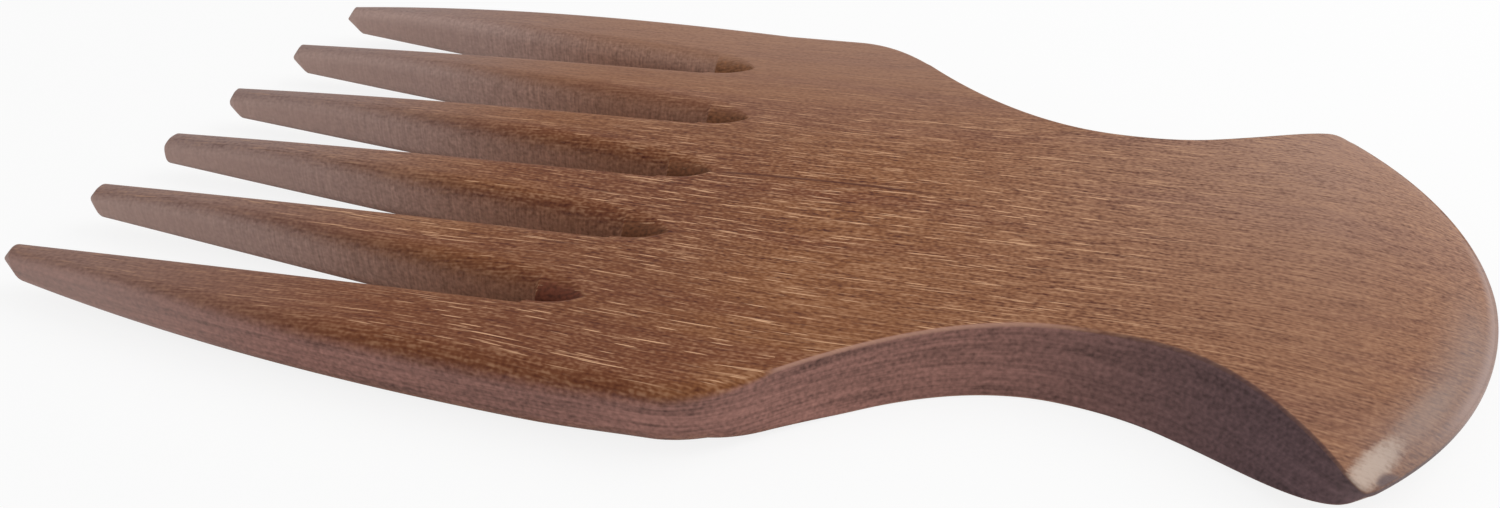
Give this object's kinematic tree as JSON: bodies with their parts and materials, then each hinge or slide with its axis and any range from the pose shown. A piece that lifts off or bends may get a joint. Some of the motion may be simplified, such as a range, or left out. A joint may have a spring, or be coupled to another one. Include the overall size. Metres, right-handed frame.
{
  "type": "afro pick",
  "caption": "Flat wooden hair pick with long tapering tines, a solid palm, a narrow waist and a fishtail handle.",
  "frame": {"origin": "centre of the bounding box in plan, on the flat underside that the pick rests on", "axes": "+X from the tine tips to the tail, +Y across the pick, +Z out of its upper face"},
  "size_m": [0.154, 0.0808, 0.0085],
  "materials": {
    "tine_wood": "oiled, satin",
    "palm_wood": "oiled, satin",
    "handle_wood": "oiled, satin"
  },
  "bodies": {
    "root": {"tine_1": "tine_wood", "tine_2": "tine_wood", "tine_3": "tine_wood", "tine_4": "tine_wood", "tine_5": "tine_wood", "tine_6": "tine_wood", "head": "palm_wood", "handle": "handle_wood"}
  },
  "joints": []
}
